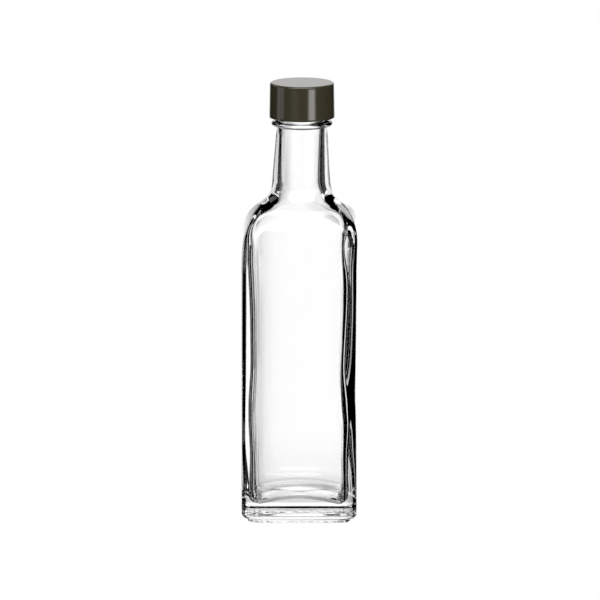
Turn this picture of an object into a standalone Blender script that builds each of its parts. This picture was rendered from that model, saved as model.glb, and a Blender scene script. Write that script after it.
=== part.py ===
"""A small square glass bottle of the marasca kind, empty, with its cap screwed on.

The bottle is one thick piece of glass, open at the mouth: a straight square body with
rounded corners, steep shoulders that turn round as they rise, a long tapering neck and a
bead below the finish. The cap is a smooth moulded shell over the finish. The origin is
the middle of the base, on the surface that the bottle stands on, and +Z is up.
"""

import math

import bpy
from mathutils import Vector
from mathutils.geometry import interpolate_bezier

# Outside of the glass
BODY_WIDTH = 0.0350
BODY_CORNER = 0.0046
BODY_TOP = 0.0842
HEEL_RADIUS = 0.0026
BEARING_WIDTH = 0.0029
PUSH_UP = 0.0012
SHOULDER_TURN_RADIUS = 0.0119
SHOULDER_TURN_HEIGHT = 0.0970
SHOULDER_TURN_SLOPE = math.radians(52)
NECK_ROOT_RADIUS = 0.00885
NECK_ROOT_HEIGHT = 0.1030
NECK_TOP_RADIUS = 0.0077
BEAD_DIAMETER = 0.0186
BEAD_RADIUS = 0.0008
BEAD_HEIGHT = 0.12095
FINISH_DIAMETER = 0.0156
LIP_RADIUS = 0.0007

# Cavity
SIDE_WALL = 0.0033
SHOULDER_WALL = 0.0030
FLOOR_HEIGHT = 0.0070
FLOOR_DOME = 0.0007
CAVITY_CORNER = 0.0052
CAVITY_HEEL = 0.0034
BORE_NECK_RADIUS = 0.0062
BORE_MOUTH_RADIUS = 0.0057

# Cap, a shell with room for the finish
CAP_HEIGHT = 0.0107
CAP_DIAMETER = 0.0199
CAP_TAPER = 0.00015
CAP_WALL = 0.0010
CAP_CROWN = 0.0011
CAP_EDGE = 0.0007
CAP_FOOT_EDGE = 0.0002
CAP_BOTTOM = 0.1227
CAP_CLEARANCE = 0.0003

# How finely the curves are cut
FLAT_STEPS = 6
CORNER_STEPS = 6
ARC_STEPS = 4
SHOULDER_STEPS = 7
CAP_STEPS = 64

CAP_TOP = CAP_BOTTOM + CAP_HEIGHT
MOUTH_HEIGHT = CAP_TOP - CAP_CROWN - CAP_CLEARANCE
CAVITY_WIDTH = BODY_WIDTH - 2 * SIDE_WALL


def clear_scene():
    for old in list(bpy.data.objects):
        bpy.data.objects.remove(old, do_unlink=True)


def arc(radius_out, height, radius, start, end, steps=ARC_STEPS):
    """Points (half width, height) of an arc in the outline, between two angles in degrees."""
    points = []
    for step in range(steps + 1):
        angle = math.radians(start + (end - start) * step / steps)
        points.append((radius_out + radius * math.cos(angle), height + radius * math.sin(angle)))
    return points


def curve(start, start_slope, end, end_slope, steps=SHOULDER_STEPS):
    """Points of a smooth curve up the outline. A slope is how far it leans in from upright."""
    reach = math.dist(start, end) * 0.38
    leave = (start[0] - reach * math.sin(start_slope), start[1] + reach * math.cos(start_slope))
    arrive = (end[0] + reach * math.sin(end_slope), end[1] - reach * math.cos(end_slope))
    corners = [Vector((x, z, 0)) for x, z in (start, leave, arrive, end)]
    return [(point.x, point.y) for point in interpolate_bezier(*corners, steps + 1)]


def ring_directions():
    """Directions of the points of one ring, closer together round the corners."""
    inset = BODY_WIDTH / 2 - BODY_CORNER
    flat_end = math.atan2(inset, BODY_WIDTH / 2)
    quarter = [flat_end * (2 * step / FLAT_STEPS - 1) for step in range(FLAT_STEPS + 1)]
    for step in range(1, CORNER_STEPS):
        turn = math.pi / 2 * step / CORNER_STEPS
        quarter.append(math.atan2(inset + BODY_CORNER * math.sin(turn), inset + BODY_CORNER * math.cos(turn)))
    return [angle + math.pi / 2 * side for side in range(4) for angle in quarter]


def rounded_square_reach(direction, half_width, corner):
    """Distance from the axis to the edge of a rounded square. It is round where corner = half_width."""
    from_side = abs((direction + math.pi / 4) % (math.pi / 2) - math.pi / 4)
    inset = half_width - corner
    if half_width * math.tan(from_side) < inset:
        return half_width / math.cos(from_side)
    from_corner = math.pi / 4 - from_side
    diagonal = inset * math.sqrt(2)
    return diagonal * math.cos(from_corner) + math.sqrt(corner**2 - (diagonal * math.sin(from_corner)) ** 2)


def corner_between(half_width, round_width, square_width, square_corner):
    """Corner radius of a section that is a circle at round_width and a rounded square at square_width."""
    share = min(max((half_width - round_width) / (square_width - round_width), 0), 1)
    share = share * share * (3 - 2 * share)
    return half_width + (square_corner - half_width) * share


def base_sections():
    """The shallow push-up under the base, the flat band that the bottle stands on, and the heel."""
    heel_inset = BODY_WIDTH / 2 - HEEL_RADIUS
    rim = heel_inset - BEARING_WIDTH
    rim_corner = rim / 2
    sections = []
    for step in range(1, ARC_STEPS + 1):
        share = step / ARC_STEPS
        sections.append((rim * share, PUSH_UP * (1 + math.cos(math.pi * share)) / 2, rim_corner * share))
    for half_width, height in arc(heel_inset, HEEL_RADIUS, HEEL_RADIUS, -90, 0):
        sections.append((half_width, height, BODY_CORNER - (BODY_WIDTH / 2 - half_width)))
    return sections


def shoulder_sections():
    """From the top of the body over the shoulder to the root of the neck."""
    turn = (SHOULDER_TURN_RADIUS, SHOULDER_TURN_HEIGHT)
    root = (NECK_ROOT_RADIUS, NECK_ROOT_HEIGHT)
    lower = curve((BODY_WIDTH / 2, BODY_TOP), 0, turn, SHOULDER_TURN_SLOPE)
    upper = curve(turn, SHOULDER_TURN_SLOPE, root, neck_slope())
    return [
        (half_width, height, corner_between(half_width, NECK_ROOT_RADIUS, BODY_WIDTH / 2, BODY_CORNER))
        for half_width, height in lower + upper[1:]
    ]


def neck_slope():
    rise = BEAD_HEIGHT - 2 * BEAD_RADIUS - NECK_ROOT_HEIGHT
    return math.atan2(NECK_ROOT_RADIUS - NECK_TOP_RADIUS, rise)


def finish_sections():
    """The bead below the cap, the plain finish and the rounded lip of the mouth."""
    bead_inset = BEAD_DIAMETER / 2 - BEAD_RADIUS
    finish = FINISH_DIAMETER / 2
    under_bead = arc(bead_inset, BEAD_HEIGHT - 2 * BEAD_RADIUS, bead_inset - NECK_TOP_RADIUS, 180, 90)
    bead = arc(bead_inset, BEAD_HEIGHT, BEAD_RADIUS, -90, 90, 2 * ARC_STEPS)
    outer_lip = arc(finish - LIP_RADIUS, MOUTH_HEIGHT - LIP_RADIUS, LIP_RADIUS, 0, 90)
    inner_lip = arc(BORE_MOUTH_RADIUS + LIP_RADIUS, MOUTH_HEIGHT - LIP_RADIUS, LIP_RADIUS, 90, 180)
    foot = [(finish, BEAD_HEIGHT + BEAD_RADIUS)]
    outline = under_bead + bead[1:] + foot + outer_lip + inner_lip
    return [(radius, height, radius) for radius, height in outline]


def bore_and_inner_shoulder_sections():
    """The inside of the glass from the foot of the finish down to the top of the body."""
    wall_in = SHOULDER_WALL * math.cos(SHOULDER_TURN_SLOPE)
    wall_down = SHOULDER_WALL * math.sin(SHOULDER_TURN_SLOPE)
    body_top = (CAVITY_WIDTH / 2, BODY_TOP - SHOULDER_WALL / 3)
    turn = (SHOULDER_TURN_RADIUS - wall_in, SHOULDER_TURN_HEIGHT - wall_down)
    root = (BORE_NECK_RADIUS, NECK_ROOT_HEIGHT)
    bore_top = (BORE_NECK_RADIUS, BEAD_HEIGHT - 2 * BEAD_RADIUS)
    lower = curve(body_top, 0, turn, SHOULDER_TURN_SLOPE)
    upper = curve(turn, SHOULDER_TURN_SLOPE, root, 0)
    return [
        (half_width, height, corner_between(half_width, BORE_NECK_RADIUS, CAVITY_WIDTH / 2, CAVITY_CORNER))
        for half_width, height in reversed(lower + upper[1:] + [bore_top])
    ]


def floor_sections():
    """The inside of the glass where its sides curve in to the slightly domed floor."""
    inset = CAVITY_WIDTH / 2 - CAVITY_HEEL
    floor_corner = CAVITY_CORNER / 2
    sections = []
    for half_width, height in arc(inset, FLOOR_HEIGHT + CAVITY_HEEL, CAVITY_HEEL, 0, -90):
        corner = CAVITY_CORNER - (CAVITY_WIDTH / 2 - half_width)
        sections.append((half_width, height, max(corner, floor_corner)))
    for share in (2 / 3, 1 / 3):
        rise = FLOOR_DOME * (1 + math.cos(math.pi * share)) / 2
        sections.append((inset * share, FLOOR_HEIGHT + rise, floor_corner * share))
    return sections


def cap_sections():
    """The cap's shell: down the inside from its ceiling, round the foot and up the outside."""
    inside = CAP_DIAMETER / 2 - CAP_WALL
    outside = CAP_DIAMETER / 2
    inner_edge = CAP_TOP - CAP_CROWN - CAP_EDGE
    inner = arc(inside - CAP_EDGE, inner_edge, CAP_EDGE, 90, 0, 2) + [(inside, CAP_BOTTOM)]
    foot = arc(outside - CAP_FOOT_EDGE, CAP_BOTTOM + CAP_FOOT_EDGE, CAP_FOOT_EDGE, -90, 0, 2)
    top = arc(outside - CAP_TAPER - CAP_EDGE, CAP_TOP - CAP_EDGE, CAP_EDGE, 0, 90)
    return [(radius, height, radius) for radius, height in inner + foot + top]


def skin(name, first_height, sections, last_height, directions):
    """A closed body through rings of points, with a point on the axis at each end of the outline."""
    count = len(directions)
    points = [(0, 0, first_height)]
    for half_width, height, corner in sections:
        for direction in directions:
            reach = rounded_square_reach(direction, half_width, corner)
            points.append((reach * math.cos(direction), reach * math.sin(direction), height))
    points.append((0, 0, last_height))
    last = len(points) - 1
    faces = []
    for step in range(count):
        following = (step + 1) % count
        faces.append((0, 1 + following, 1 + step))
        for ring in range(len(sections) - 1):
            low = 1 + ring * count
            high = low + count
            faces.append((low + step, low + following, high + following, high + step))
        faces.append((last - count + step, last - count + following, last))
    mesh = bpy.data.meshes.new(name)
    mesh.from_pydata(points, [], faces)
    mesh.shade_smooth()
    mesh.set_sharp_from_angle(angle=math.radians(40))
    piece = bpy.data.objects.new(name, mesh)
    bpy.context.scene.collection.objects.link(piece)
    return piece


def material(name, colour, roughness, transmission=0.0):
    made = bpy.data.materials.new(name)
    made.use_nodes = True
    shader = made.node_tree.nodes["Principled BSDF"]
    shader.inputs["Base Color"].default_value = (*colour, 1)
    shader.inputs["Metallic"].default_value = 0.0
    shader.inputs["Roughness"].default_value = roughness
    shader.inputs["Transmission Weight"].default_value = transmission
    shader.inputs["IOR"].default_value = 1.52
    return made


def make_bottle():
    outside = base_sections() + shoulder_sections() + finish_sections()
    inside = bore_and_inner_shoulder_sections() + floor_sections()
    bottle = skin("bottle", PUSH_UP, outside + inside, FLOOR_HEIGHT + FLOOR_DOME, ring_directions())
    bottle.data.materials.append(material("clear glass", (0.95, 0.97, 0.96), 0.02, 1.0))


def make_cap():
    directions = [2 * math.pi * step / CAP_STEPS for step in range(CAP_STEPS)]
    cap = skin("cap", CAP_TOP - CAP_CROWN, cap_sections(), CAP_TOP, directions)
    cap.data.materials.append(material("dark moulded cap", (0.045, 0.042, 0.032), 0.35))


clear_scene()
make_bottle()
make_cap()
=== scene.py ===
"""Looks of a small square glass bottle of the marasca kind with its dark screw cap on."""

import math

import bpy
import numpy as np
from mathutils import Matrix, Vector
from mathutils.geometry import interpolate_bezier


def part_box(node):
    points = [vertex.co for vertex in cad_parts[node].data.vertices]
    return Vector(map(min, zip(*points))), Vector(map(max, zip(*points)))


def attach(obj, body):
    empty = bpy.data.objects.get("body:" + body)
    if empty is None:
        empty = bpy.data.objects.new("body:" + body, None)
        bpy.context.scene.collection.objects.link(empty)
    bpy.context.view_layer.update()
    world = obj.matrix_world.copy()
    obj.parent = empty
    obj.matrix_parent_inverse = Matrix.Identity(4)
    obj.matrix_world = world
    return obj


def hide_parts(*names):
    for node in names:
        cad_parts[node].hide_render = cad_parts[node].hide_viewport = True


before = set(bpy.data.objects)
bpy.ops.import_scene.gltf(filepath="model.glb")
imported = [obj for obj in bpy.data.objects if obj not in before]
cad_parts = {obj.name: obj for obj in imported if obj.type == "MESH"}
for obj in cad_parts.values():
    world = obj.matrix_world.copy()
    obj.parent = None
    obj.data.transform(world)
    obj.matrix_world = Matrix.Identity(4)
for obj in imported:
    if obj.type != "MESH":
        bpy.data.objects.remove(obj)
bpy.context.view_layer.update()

# Places read from the frame, in metres
_, BOTTLE_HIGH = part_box("bottle")
CAP_LOW, CAP_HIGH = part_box("cap")
HALF_WIDTH = BOTTLE_HIGH.x
MOUTH_HEIGHT = BOTTLE_HIGH.z
CAP_BOTTOM = CAP_LOW.z
CAP_TOP = CAP_HIGH.z
CAP_RADIUS = CAP_HIGH.x

# Outside of the body, from its upright edges down to the base, with the heel's start in degrees
LEFT_EDGE = 0.0046
RIGHT_EDGE = 0.0039
BODY_TOP = 0.0842
HEEL_RADIUS = 0.0019
HEEL_START = -80
FOOT_HEIGHT = 0.0009
FOOT_INSET = 0.0019
FOOT_ROUND = 0.0003
BEARING_WIDTH = 0.0029
PUSH_UP = 0.0012

# Stipple on the ring that the bottle stands on: the sum of waves in random directions
STIPPLE_DEPTH = 0.0002
STIPPLE_PITCH = 0.0014
STIPPLE_PITCH_SPREAD = (0.8, 1.25)
STIPPLE_WAVES = 9
STIPPLE_SWING = 6
STIPPLE_SEED = 3

# Outside of the shoulder, the neck, the bead and the finish
SHOULDER_TURN_RADIUS = 0.0119
SHOULDER_TURN_HEIGHT = 0.0970
SHOULDER_TURN_SLOPE = math.radians(52)
SHOULDER_ROUNDNESS = 2.5
NECK_ROOT_RADIUS = 0.00885
NECK_ROOT_HEIGHT = 0.1030
NECK_TOP_RADIUS = 0.0077
BEAD_OUTER_RADIUS = 0.0093
BEAD_RADIUS = 0.00065
BEAD_HEIGHT = 0.1209
BEAD_FILLET = 0.0005
FINISH_RADIUS = 0.0078
FINISH_FILLET = 0.0012
LIP_RADIUS = 0.0007

# Where the moulded glass is off its true shape: height, and how far the right side sinks in
RIGHT_SINK = [
    (0.015, 0), (0.029, 0.00012), (0.038, 0.0003), (0.047, 0.00025), (0.057, 0.00015), (0.075, 0),
]

# The same for the part above the body: height, and how far it stands to the right
UPPER_LEAN = [
    (0.083, 0), (0.089, 0.0006), (0.095, 0.0010), (0.103, 0.0006), (0.121, 0.0009), (0.134, 0.0009),
]

# How far above and below a height such a table is averaged, and in how many readings
SMOOTHING_REACH = 0.004
SMOOTHING_READINGS = 9

# Side walls of the glass: height, thickness at the edges, and how far the middle bows in
LEFT_WALL = [
    (0.013, 0.0039, 0.0001), (0.021, 0.0039, 0.0007), (0.029, 0.0036, 0.00075),
    (0.038, 0.0036, 0.0007), (0.047, 0.0040, 0.00053), (0.066, 0.0039, 0.00046),
    (0.075, 0.0037, 0.0005), (0.086, 0.0034, 0.0005),
]
RIGHT_WALL = [
    (0.013, 0.0025, 0.0013), (0.021, 0.0028, 0.0004), (0.029, 0.0025, 0.0006),
    (0.038, 0.0032, -0.0005), (0.047, 0.0034, 0.00007), (0.066, 0.0027, 0.00054),
    (0.075, 0.0026, 0.00047), (0.086, 0.0034, 0.0004), (0.095, 0.0044, 0),
]
THICKNESS_COLUMN = 1
BOW_COLUMN = 2

# Front and back walls, and how much thicker they get towards the left
FRONT_WALL = 0.00455
LEFT_THICKENING = 0.00028

# Corners of the cavity, across and deep: right front, right back, left back, left front
CAVITY_CORNERS = [(0.0018, 0.0021), (0.0050, 0.0030), (0.0055, 0.0011), (0.0014, 0.0019)]

# Rest of the cavity. The skew is how far it shifts to the right for each metre of depth
CAVITY_SKEW = 0.043
SHOULDER_WALL = 0.0022
CAVITY_FLOOR = 0.0047
CAVITY_DOME = 0.0035
DOME_FADE_HEIGHT = 0.02
DOME_REACH = 1.35
CAVITY_HEEL = 0.0030
BORE_OFFSET = 0.00015
BORE_NECK_RADIUS = 0.00605
BORE_MOUTH_RADIUS = 0.0057

# Cap
CAP_WALL = 0.0010
CAP_CROWN = 0.0011
CAP_EDGE = 0.0006
CAP_FOOT = 0.0002
CAP_TAPER = 0.00015

# Corner of a round section, as a share of its half width, so that its sides keep some length
FULL_ROUND = 0.9999

# How far the handles of a curve reach, as a share of the distance between its ends
CURVE_REACH = 0.38

# How finely the pieces are cut
RING_POINTS = 384
TURN_POINTS = 120
SECTION_CUTS = 60
SAME_PLACE = 1e-9
BASE_RINGS = 10
BEARING_RINGS = 12
CAP_POINTS = 192

# Materials
GLASS_INDEX = 1.52
GLASS_REFLECTION = 0.25
CAP_COLOUR = (0.052, 0.046, 0.029, 1)
CAP_ROUGHNESS = 0.12
CAP_INDEX = 1.5
LIGHT_BOUNCES = 18

# Photograph's frame and camera, in pixels, metres and radians, with the sensor in millimetres
PHOTO_SIZE = 600
PIXEL = 0.0003046
CAMERA_DISTANCE = 4.0
CAMERA_ELEVATION = math.radians(10.3)
CAMERA_AIM_HEIGHT = 0.0655
AXIS_COLUMN = 299.1
MIDDLE_ROW = 302.2
SENSOR = 36.0

# Backdrop behind the bottle: degrees to the right, and brightness
BACKDROP_ACROSS = [
    (-28, 0), (-24, 0.6), (-18, 0.67), (-12, 0.82), (-6, 1.02), (0, 1.17), (12, 1.13), (18, 1.06),
    (24, 0.92), (28, 0),
]

# The same backdrop: degrees up, and the share of its brightness
BACKDROP_UP = [(-90, 1), (2, 1), (6, 0.92), (11, 0.92), (15, 1), (53, 1), (66, 0.3), (76, 0)]

# The same backdrop: degrees up, and the share of its width
BACKDROP_WIDTH = [(-90, 0.65), (-28, 0.68), (-20, 1), (8, 1), (16, 0.7), (90, 0.7)]

# White floor that the bottle stands on
STAGE_HALF_SIZE = 3.0

# The same floor: distance from the bottle's axis, and the share of light that comes up there, a painted
# shadow of the bottle on the floor
STAGE_PAINTED_SHADOW = [
    (0, 0.4), (0.014, 0.42), (0.019, 0.56), (0.024, 0.7), (0.032, 0.62), (0.045, 0.7),
    (0.07, 0.93), (0.13, 1),
]

# Studio lights as the glass and the cap see them, in degrees from straight behind and above level
STUDIO = [
    # label, middle across, middle up, half width, half height, softness of the edge, brightness
    ("right highlight", 145, -7.7, 11.5, 1.6, 6, 7.8),
    ("front fill", 206, -7.7, 13, 1.6, 8, 0.4),
    ("low left of the backdrop", -25, -17, 8, 3.5, 1.5, 0.85),
    ("upper right of the backdrop", 25, 24, 5, 9, 2, 3.0),
    ("floor under the bottle", 0, -90, 180, 27, 5, 1.0),
    ("overhead front", 180, 50, 55, 20, 8, 4.5),
    ("window of the view from the right", -97, -0.7, 16, 8.3, 0.3, 1.05),
    ("lower window of the view from the right", -90, -11.4, 5, 3.4, 0.4, 1.05),
    ("window of the low back view", 135, -14.7, 26, 2.8, 0.3, 1.05),
    ("lower window of the low back view", 135, -32, 16, 17, 2, 1.05),
    ("upper window of the low back view", 135, 15, 26, 6, 1, 1.0),
    ("window of the high view", -52, -24, 21, 4.5, 1, 1.05),
    ("lower window of the high view", -57, -42, 13, 16, 2, 1.05),
    ("right lower window of the high view", -33, -44.5, 12, 15.5, 0.3, 1.05),
    ("upper window of the high view", -55, 27, 17, 8, 2, 1.0),
]


def arc(out, height, radius, start, end, steps):
    """Points (half width, height) of an arc in the outline, between two angles in degrees."""
    angles = np.radians(np.linspace(start, end, steps + 1))
    return [(out + radius * math.cos(a), height + radius * math.sin(a)) for a in angles]


def curve(start, start_slope, end, end_slope, steps):
    """Points of a smooth curve up the outline. A slope is its lean inwards from upright, in radians."""
    reach = math.dist(start, end) * CURVE_REACH
    leave = (start[0] - reach * math.sin(start_slope), start[1] + reach * math.cos(start_slope))
    arrive = (end[0] + reach * math.sin(end_slope), end[1] - reach * math.cos(end_slope))
    handles = [Vector((x, z, 0)) for x, z in (start, leave, arrive, end)]
    return [(point.x, point.y) for point in interpolate_bezier(*handles, steps + 1)]


def straight(start, end, steps):
    """Points of a straight stretch of the outline."""
    shares = np.linspace(0, 1, steps + 1)
    return [(start[0] + (end[0] - start[0]) * s, start[1] + (end[1] - start[1]) * s) for s in shares]


def join(*runs):
    """One outline from several runs of points, each starting where the last one ends."""
    joined = list(runs[0])
    for run in runs[1:]:
        joined += run[1:]
    return joined


def smooth_step(share):
    """A share from 0 to 1, with a soft start and a soft end."""
    share = np.clip(share, 0, 1)
    return share * share * (3 - 2 * share)


def read_table(table, height, column=1):
    """Value of a table at a height, averaged over the heights close by."""
    heights = [row[0] for row in table]
    values = [row[column] for row in table]
    around = height + np.linspace(-SMOOTHING_REACH, SMOOTHING_REACH, SMOOTHING_READINGS)
    return float(np.mean(np.interp(around, heights, values)))


def body_share(half_width, round_width, square_width, roundness=1):
    """How square a section of the shoulder is: 0 at the round neck, 1 at the square body."""
    return float(smooth_step((half_width - round_width) / (square_width - round_width)) ** roundness)


def corner_size(edge, half_width, squareness):
    """Size of a corner: the edge's own in a square section, the whole half width in a round one."""
    whole = half_width * FULL_ROUND
    return whole + (min(edge, whole) - whole) * squareness


def rounded_box(left, right, depth, corners):
    """Finely cut section, counterclockwise from its right front corner.

    Corners are the radii, across and deep, of the right front, right back, left back and left front.
    """
    turns = np.linspace(0, math.pi / 2, TURN_POINTS)
    places = [(right, -depth), (right, depth), (-left, depth), (-left, -depth)]
    points = []
    for number, ((x, y), (radius_x, radius_y)) in enumerate(zip(places, corners)):
        angles = turns + math.pi / 2 * (number - 1)
        across = x - math.copysign(radius_x, x) + radius_x * np.cos(angles)
        along = y - math.copysign(radius_y, y) + radius_y * np.sin(angles)
        points.append(np.column_stack((across, along)))
    return np.vstack(points)


def subdivide(points, most):
    """Adds points to a closed line so that no two neighbours are further apart than most."""
    fine = []
    for start, end in zip(points, np.roll(points, -1, axis=0)):
        count = max(1, math.ceil(np.linalg.norm(end - start) / most))
        shares = np.arange(count)[:, None] / count
        fine.append(start + (end - start) * shares)
    return np.vstack(fine)


def even_ring(section, height):
    """Points round a section from its middle right, spread evenly by distance and by turning."""
    start = np.argmin(np.abs(section[:, 1]) + np.where(section[:, 0] > 0, 0, 1))
    section = np.roll(section, -start, axis=0)
    steps = np.roll(section, -1, axis=0) - section
    lengths = np.linalg.norm(steps, axis=1)
    keep = lengths > SAME_PLACE
    section, steps, lengths = section[keep], steps[keep], lengths[keep]
    headings = np.unwrap(np.arctan2(steps[:, 1], steps[:, 0]))
    turns = np.abs(np.diff(headings, append=headings[0] + 2 * math.pi))
    measure = lengths / lengths.sum() + turns / (2 * math.pi)
    places = np.concatenate(([0], np.cumsum(measure)))
    closed = np.vstack((section, section[:1]))
    wanted = np.linspace(0, places[-1], RING_POINTS, endpoint=False)
    x = np.interp(wanted, places, closed[:, 0])
    y = np.interp(wanted, places, closed[:, 1])
    return np.column_stack((x, y, np.full(RING_POINTS, height)))


def outside_ring(half_width, height, squareness):
    """Ring of the outside. Squareness goes from 0 in the round neck to 1 in the body."""
    left = corner_size(LEFT_EDGE, half_width, squareness)
    right = corner_size(RIGHT_EDGE, half_width, squareness)
    corners = [(right, right), (right, right), (left, left), (left, left)]
    section = rounded_box(half_width, half_width, half_width, corners)
    section = subdivide(section, half_width / SECTION_CUTS)
    sink = read_table(RIGHT_SINK, height)
    section[:, 0] -= sink * smooth_step(section[:, 0] / half_width)
    section[:, 0] += read_table(UPPER_LEAN, height)
    return even_ring(section, height)


def inside_ring(half_width, height, squareness):
    """Ring of the cavity. Squareness goes from 0 in the round bore to 1 in the body."""
    left_wall = read_table(LEFT_WALL, height, THICKNESS_COLUMN)
    right_wall = read_table(RIGHT_WALL, height, THICKNESS_COLUMN)
    left = half_width - (left_wall - FRONT_WALL) * squareness
    right = half_width - (right_wall - FRONT_WALL) * squareness
    corners = [[corner_size(size, half_width, squareness) for size in corner] for corner in CAVITY_CORNERS]
    section = rounded_box(left, right, half_width, corners)
    section = subdivide(section, half_width / SECTION_CUTS)
    x, y = section[:, 0].copy(), section[:, 1].copy()
    bow = 1 - (y / half_width) ** 2
    left_bow = read_table(LEFT_WALL, height, BOW_COLUMN) * bow * smooth_step(-x / left * 2 - 1)
    right_bow = read_table(RIGHT_WALL, height, BOW_COLUMN) * bow * smooth_step(x / right * 2 - 1)
    thickening = LEFT_THICKENING * np.clip(-x / left, 0, 1) ** 3
    section[:, 0] = x + (left_bow - right_bow + CAVITY_SKEW * y) * squareness
    section[:, 0] += read_table(UPPER_LEAN, height) - BORE_OFFSET * (1 - squareness)
    section[:, 1] = y * (1 - thickening / half_width * squareness)
    return even_ring(section, height)


def stipple(ring, lift, squeeze):
    """Moves a ring up and in by a fine random pattern, by at most lift and squeeze."""
    chance = np.random.default_rng(STIPPLE_SEED)
    pattern = np.zeros(len(ring))
    for _ in range(STIPPLE_WAVES):
        direction = chance.uniform(0, math.pi)
        length = STIPPLE_PITCH * chance.uniform(*STIPPLE_PITCH_SPREAD)
        along = ring[:, 0] * math.cos(direction) + ring[:, 1] * math.sin(direction)
        along += ring[:, 2] * chance.uniform(-1, 1)
        pattern += np.cos(along * 2 * math.pi / length + chance.uniform(0, 2 * math.pi))
    pattern = np.clip(0.5 + pattern / STIPPLE_SWING, 0, 1)
    ring[:, 2] += lift * pattern
    ring[:, :2] *= 1 - (squeeze / HALF_WIDTH * pattern)[:, None]


def base_rings():
    """Rings of the outside from the middle of the push-up to the foot of the body's sides."""
    foot = HALF_WIDTH - FOOT_INSET
    bearing = foot - FOOT_ROUND
    rim = bearing - BEARING_WIDTH
    heel = HALF_WIDTH - HEEL_RADIUS
    rings = []
    for share in np.linspace(0, 1, BASE_RINGS + 1)[1:]:
        ring = outside_ring(HALF_WIDTH, 0, 1)
        ring[:, :2] *= share * rim / HALF_WIDTH
        ring[:, 2] = PUSH_UP * (1 + math.cos(math.pi * share)) / 2
        rings.append(ring)
    outline = join(
        straight((rim, 0), (bearing, 0), BEARING_RINGS),
        arc(bearing, FOOT_ROUND, FOOT_ROUND, -90, 0, steps=4),
        straight((foot, FOOT_ROUND), (foot, FOOT_HEIGHT), steps=8),
        arc(heel, FOOT_HEIGHT + HEEL_RADIUS, HEEL_RADIUS, HEEL_START, 0, steps=12),
    )
    for number, (half_width, height) in enumerate(outline[1:]):
        ring = outside_ring(HALF_WIDTH, height, 1)
        ring[:, :2] *= half_width / HALF_WIDTH
        if number < BEARING_RINGS:
            stipple(ring, STIPPLE_DEPTH, 0)
        elif height <= FOOT_HEIGHT:
            stipple(ring, 0, STIPPLE_DEPTH)
        rings.append(ring)
    return rings


def upper_rings():
    """Rings of the outside from the foot of the body's sides to the top of the lip."""
    body_foot = (HALF_WIDTH, FOOT_HEIGHT + HEEL_RADIUS)
    body_head = (HALF_WIDTH, BODY_TOP)
    turn = (SHOULDER_TURN_RADIUS, SHOULDER_TURN_HEIGHT)
    root = (NECK_ROOT_RADIUS, NECK_ROOT_HEIGHT)
    bead_foot = BEAD_HEIGHT - BEAD_RADIUS
    bead_top = BEAD_HEIGHT + BEAD_RADIUS
    bead_inset = BEAD_OUTER_RADIUS - BEAD_RADIUS
    neck_head = (NECK_TOP_RADIUS, bead_foot - BEAD_FILLET)
    neck_slope = math.atan2(root[0] - neck_head[0], neck_head[1] - root[1])
    fillet_out = NECK_TOP_RADIUS + BEAD_FILLET
    finish_foot = (FINISH_RADIUS, bead_top + FINISH_FILLET)
    finish_head = (FINISH_RADIUS, MOUTH_HEIGHT - LIP_RADIUS)
    outline = join(
        straight(body_foot, body_head, steps=14),
        curve(body_head, 0, turn, SHOULDER_TURN_SLOPE, steps=26),
        curve(turn, SHOULDER_TURN_SLOPE, root, neck_slope, steps=20),
        straight(root, neck_head, steps=8),
        arc(fillet_out, neck_head[1], BEAD_FILLET, 180, 90, steps=4),
        straight((fillet_out, bead_foot), (bead_inset, bead_foot), steps=1),
        arc(bead_inset, BEAD_HEIGHT, BEAD_RADIUS, -90, 90, steps=12),
        arc(bead_inset, finish_foot[1], FINISH_FILLET, -90, -180, steps=10),
        straight(finish_foot, finish_head, steps=4),
        arc(FINISH_RADIUS - LIP_RADIUS, finish_head[1], LIP_RADIUS, 0, 90, steps=5),
    )
    rings = []
    for half_width, height in outline[1:]:
        squareness = 0
        if height < NECK_ROOT_HEIGHT:
            squareness = body_share(half_width, NECK_ROOT_RADIUS, HALF_WIDTH, SHOULDER_ROUNDNESS)
        rings.append(outside_ring(half_width, height, squareness))
    return rings


def raise_floor(ring, half_width):
    """Lifts a ring of the cavity with the domed floor: most in the middle, not at all high up."""
    fade = 1 - smooth_step((ring[:, 2] - CAVITY_FLOOR) / DOME_FADE_HEIGHT)
    away = np.hypot(ring[:, 0], ring[:, 1]) / (half_width * DOME_REACH)
    ring[:, 2] += CAVITY_DOME * fade * np.clip(1 - away ** 2, 0, 1)


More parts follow.
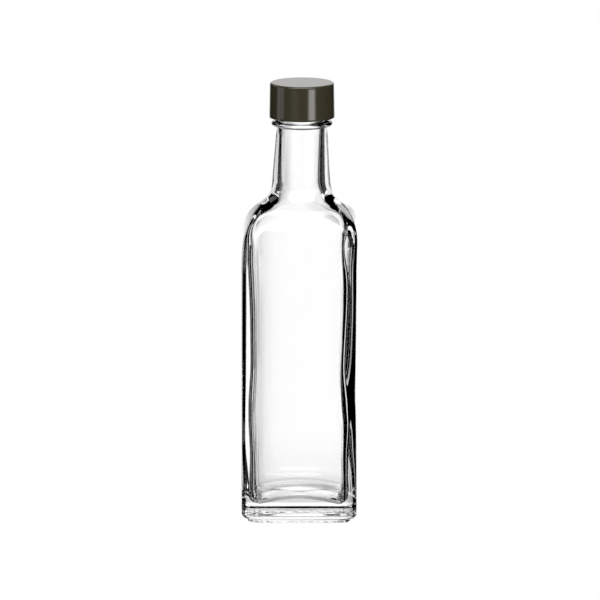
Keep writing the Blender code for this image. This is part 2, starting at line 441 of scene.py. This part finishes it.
def inside_rings():
    """Rings of the cavity from the top of the lip down to the middle of the floor."""
    half_width = HALF_WIDTH - FRONT_WALL
    wall_in = SHOULDER_WALL * math.cos(SHOULDER_TURN_SLOPE)
    wall_down = SHOULDER_WALL * math.sin(SHOULDER_TURN_SLOPE)
    heel_height = CAVITY_FLOOR + CAVITY_HEEL
    body_foot = (half_width, heel_height)
    body_head = (half_width, BODY_TOP - SHOULDER_WALL / 3)
    turn = (SHOULDER_TURN_RADIUS - wall_in, SHOULDER_TURN_HEIGHT - wall_down)
    root = (BORE_NECK_RADIUS, NECK_ROOT_HEIGHT)
    bore_top = (BORE_NECK_RADIUS, BEAD_HEIGHT - 2 * BEAD_RADIUS)
    mouth_foot = (BORE_MOUTH_RADIUS, MOUTH_HEIGHT - LIP_RADIUS)
    rising = join(
        straight(body_foot, body_head, steps=26),
        curve(body_head, 0, turn, SHOULDER_TURN_SLOPE, steps=26),
        curve(turn, SHOULDER_TURN_SLOPE, root, 0, steps=20),
        straight(root, bore_top, steps=6),
        straight(bore_top, mouth_foot, steps=4),
    )
    rings = []
    lip = arc(BORE_MOUTH_RADIUS + LIP_RADIUS, mouth_foot[1], LIP_RADIUS, 90, 180, steps=5)
    for radius, height in lip[:-1]:
        rings.append(inside_ring(radius, height, 0))
    for width, height in reversed(rising):
        squareness = body_share(width, BORE_NECK_RADIUS, half_width)
        rings.append(inside_ring(width, height, squareness))
    inset = half_width - CAVITY_HEEL
    for width, height in arc(inset, heel_height, CAVITY_HEEL, 0, -90, steps=12)[1:]:
        ring = inside_ring(half_width, height, 1)
        ring[:, :2] *= width / half_width
        rings.append(ring)
    for share in np.linspace(1, 0, BASE_RINGS + 1)[1:-1]:
        ring = inside_ring(half_width, CAVITY_FLOOR, 1)
        ring[:, :2] *= share * inset / half_width
        rings.append(ring)
    for ring in rings:
        raise_floor(ring, half_width)
    return rings


def add_object(name, data):
    """A new object with this mesh or camera, in the scene."""
    made = bpy.data.objects.new(name, data)
    bpy.context.scene.collection.objects.link(made)
    return made


def skin(name, first_height, rings, last_height):
    """A closed smooth mesh through rings of points, with a point on the axis at each end."""
    count = len(rings[0])
    points = np.vstack([[(0, 0, first_height)], *rings, [(0, 0, last_height)]])
    step = np.arange(count)
    following = (step + 1) % count
    quads = []
    for ring in range(len(rings) - 1):
        low = 1 + ring * count
        high = low + count
        quads.append(np.column_stack((low + step, low + following, high + following, high + step)))
    last = len(points) - 1
    sides = list(zip(step.tolist(), following.tolist()))
    faces = np.vstack(quads).tolist()
    faces += [(0, 1 + b, 1 + a) for a, b in sides]
    faces += [(last - count + a, last - count + b, last) for a, b in sides]
    mesh = bpy.data.meshes.new(name)
    mesh.from_pydata(points.tolist(), [], faces)
    mesh.shade_smooth()
    return add_object(name, mesh)


def new_material(name):
    made = bpy.data.materials.new(name)
    made.use_nodes = True
    return made


def glass_material():
    """Clear glass with no tint of its own."""
    made = new_material("clear_glass")
    inputs = made.node_tree.nodes["Principled BSDF"].inputs
    inputs["Base Color"].default_value = (1, 1, 1, 1)
    inputs["Roughness"].default_value = 0.0
    inputs["IOR"].default_value = GLASS_INDEX
    inputs["Transmission Weight"].default_value = 1.0
    inputs["Specular IOR Level"].default_value = GLASS_REFLECTION
    return made


def cap_material():
    """Smooth moulded plastic of a dark olive black."""
    made = new_material("dark_moulded_cap")
    inputs = made.node_tree.nodes["Principled BSDF"].inputs
    inputs["Base Color"].default_value = CAP_COLOUR
    inputs["Roughness"].default_value = CAP_ROUGHNESS
    inputs["IOR"].default_value = CAP_INDEX
    return made


def make_bottle():
    rings = base_rings() + upper_rings() + inside_rings()
    bottle = skin("glass_bottle", PUSH_UP, rings, CAVITY_FLOOR + CAVITY_DOME)
    bottle.data.materials.append(glass_material())
    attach(bottle, "root")
    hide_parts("bottle")


def cap_outline():
    """Outline of the cap from under its crown, down the inside, round the foot and up the outside."""
    inside = CAP_RADIUS - CAP_WALL
    inner_edge = CAP_TOP - CAP_CROWN - CAP_EDGE
    foot = CAP_RADIUS - CAP_FOOT
    head = CAP_RADIUS - CAP_TAPER
    return join(
        arc(inside - CAP_EDGE, inner_edge, CAP_EDGE, 90, 0, steps=6),
        straight((inside, inner_edge), (inside, CAP_BOTTOM), steps=6),
        straight((inside, CAP_BOTTOM), (foot, CAP_BOTTOM), steps=3),
        arc(foot, CAP_BOTTOM + CAP_FOOT, CAP_FOOT, -90, 0, steps=6),
        straight((CAP_RADIUS, CAP_BOTTOM + CAP_FOOT), (head, CAP_TOP - CAP_EDGE), steps=20),
        arc(head - CAP_EDGE, CAP_TOP - CAP_EDGE, CAP_EDGE, 0, 90, steps=12),
        straight((head - CAP_EDGE, CAP_TOP), (CAP_RADIUS / 10, CAP_TOP), steps=10),
    )


def make_cap():
    directions = np.linspace(0, 2 * math.pi, CAP_POINTS, endpoint=False)
    lean = read_table(UPPER_LEAN, CAP_BOTTOM)
    rings = []
    for radius, height in cap_outline():
        x = np.cos(directions) * radius + lean
        y = np.sin(directions) * radius
        rings.append(np.column_stack((x, y, np.full(CAP_POINTS, height))))
    cap = skin("screw_cap", CAP_TOP - CAP_CROWN, rings, CAP_TOP)
    cap.data.materials.append(cap_material())
    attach(cap, "root")
    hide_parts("cap")


class NodeMath:
    """Builds chains of math nodes in one node tree."""

    def __init__(self, tree):
        self.nodes = tree.nodes
        self.links = tree.links

    def __call__(self, operation, *values):
        """Result of one math node. A value is a number or the result of another node."""
        node = self.nodes.new("ShaderNodeMath")
        node.operation = operation
        for socket, value in zip(node.inputs, values):
            if isinstance(value, (int, float)):
                socket.default_value = value
            else:
                self.links.new(value, socket)
        return node.outputs[0]

    def inside(self, distance, half_size, softness):
        """1 where a distance is within half_size, 0 outside, with a soft edge."""
        node = self.nodes.new("ShaderNodeMapRange")
        node.interpolation_type = "SMOOTHSTEP"
        node.inputs["From Min"].default_value = half_size + softness
        node.inputs["From Max"].default_value = half_size - softness
        self.links.new(distance, node.inputs["Value"])
        return node.outputs["Result"]

    def along(self, place, stops):
        """Value at a place, read along straight lines between stops of (place, value)."""
        low, high = stops[0][0], stops[-1][0]
        share = self("DIVIDE", self("SUBTRACT", place, low), high - low)
        ramp = self.nodes.new("ShaderNodeValToRGB")
        ramp.color_ramp.elements.remove(ramp.color_ramp.elements[1])
        for number, (stop, value) in enumerate(stops):
            if number > 0:
                ramp.color_ramp.elements.new((stop - low) / (high - low))
            ramp.color_ramp.elements[number].color = (value, value, value, 1)
        self.links.new(share, ramp.inputs["Fac"])
        return ramp.outputs["Color"]


def make_floor():
    """The camera sees a plain white floor with no shadow on it, as in the photograph.

    The glass sees the light below through the floor, dimmed near the bottle by a painted shadow of the
    bottle.
    """
    size = STAGE_HALF_SIZE
    corners = [(-size, -size, 0), (size, -size, 0), (size, size, 0), (-size, size, 0)]
    mesh = bpy.data.meshes.new("floor")
    mesh.from_pydata(corners, [], [(0, 1, 2, 3)])
    floor = add_object("floor", mesh)
    made = new_material("white_floor")
    nodes, links = made.node_tree.nodes, made.node_tree.links
    nodes.remove(nodes["Principled BSDF"])
    math_node = NodeMath(made.node_tree)
    place = nodes.new("ShaderNodeTexCoord")
    away = nodes.new("ShaderNodeVectorMath")
    away.operation = "LENGTH"
    links.new(place.outputs["Object"], away.inputs[0])
    # Painted shadow of the bottle: the floor lets less light through near its axis
    shade = nodes.new("ShaderNodeBsdfTransparent")
    links.new(math_node.along(away.outputs["Value"], STAGE_PAINTED_SHADOW), shade.inputs["Color"])
    light = nodes.new("ShaderNodeEmission")
    camera_ray = nodes.new("ShaderNodeLightPath").outputs["Is Camera Ray"]
    shown = nodes.new("ShaderNodeMixShader")
    links.new(camera_ray, shown.inputs["Fac"])
    links.new(shade.outputs["BSDF"], shown.inputs[1])
    links.new(light.outputs["Emission"], shown.inputs[2])
    links.new(shown.outputs["Shader"], nodes["Material Output"].inputs["Surface"])
    floor.data.materials.append(made)


def make_world():
    """The camera sees plain white. The glass and the cap see the backdrop and the studio lights on black."""
    world = bpy.data.worlds.new("studio")
    bpy.context.scene.world = world
    world.use_nodes = True
    nodes, links = world.node_tree.nodes, world.node_tree.links
    math_node = NodeMath(world.node_tree)
    place = nodes.new("ShaderNodeTexCoord")
    parts = nodes.new("ShaderNodeSeparateXYZ")
    links.new(place.outputs["Generated"], parts.inputs["Vector"])
    azimuth = math_node("DEGREES", math_node("ARCTAN2", parts.outputs["X"], parts.outputs["Y"]))
    elevation = math_node("DEGREES", math_node("ARCSINE", parts.outputs["Z"]))
    width = math_node.along(elevation, BACKDROP_WIDTH)
    backdrop = math_node.along(math_node("DIVIDE", azimuth, width), BACKDROP_ACROSS)
    brightness = math_node("MULTIPLY", backdrop, math_node.along(elevation, BACKDROP_UP))
    for _, middle, height, half_width, half_height, softness, level in STUDIO:
        beside = math_node("ABSOLUTE", math_node("WRAP", math_node("SUBTRACT", azimuth, middle), 180, -180))
        above = math_node("ABSOLUTE", math_node("SUBTRACT", elevation, height))
        across = math_node.inside(beside, half_width, softness)
        upright = math_node.inside(above, half_height, min(softness, half_height / 2))
        light = math_node("MULTIPLY", math_node("MULTIPLY", across, upright), level)
        brightness = math_node("MAXIMUM", light, brightness)
    camera_ray = nodes.new("ShaderNodeLightPath").outputs["Is Camera Ray"]
    shown = nodes.new("ShaderNodeMix")
    links.new(camera_ray, shown.inputs["Factor"])
    links.new(brightness, shown.inputs["A"])
    shown.inputs["B"].default_value = 1.0
    links.new(shown.outputs["Result"], nodes["Background"].inputs["Color"])


def make_camera():
    """A camera far away at the photograph's angle, with its frame moved to where the photograph has it."""
    data = bpy.data.cameras.new("camera")
    camera = add_object("camera", data)
    back = Vector((0, -math.cos(CAMERA_ELEVATION), math.sin(CAMERA_ELEVATION)))
    camera.location = Vector((0, 0, CAMERA_AIM_HEIGHT)) + back * CAMERA_DISTANCE
    camera.rotation_mode = "QUATERNION"
    camera.rotation_quaternion = (-back).to_track_quat("-Z", "Y")
    data.sensor_width = SENSOR
    data.lens = SENSOR * CAMERA_DISTANCE / (PHOTO_SIZE * PIXEL)
    data.shift_x = (PHOTO_SIZE / 2 - AXIS_COLUMN) / PHOTO_SIZE
    data.shift_y = (MIDDLE_ROW - PHOTO_SIZE / 2) / PHOTO_SIZE
    data.clip_start = 0.1
    data.clip_end = 20
    bpy.context.scene.camera = camera


make_bottle()
make_cap()
make_floor()
make_world()
make_camera()
bpy.context.scene.view_settings.view_transform = "Standard"
bpy.context.scene.cycles.max_bounces = LIGHT_BOUNCES
bpy.context.scene.cycles.transmission_bounces = LIGHT_BOUNCES
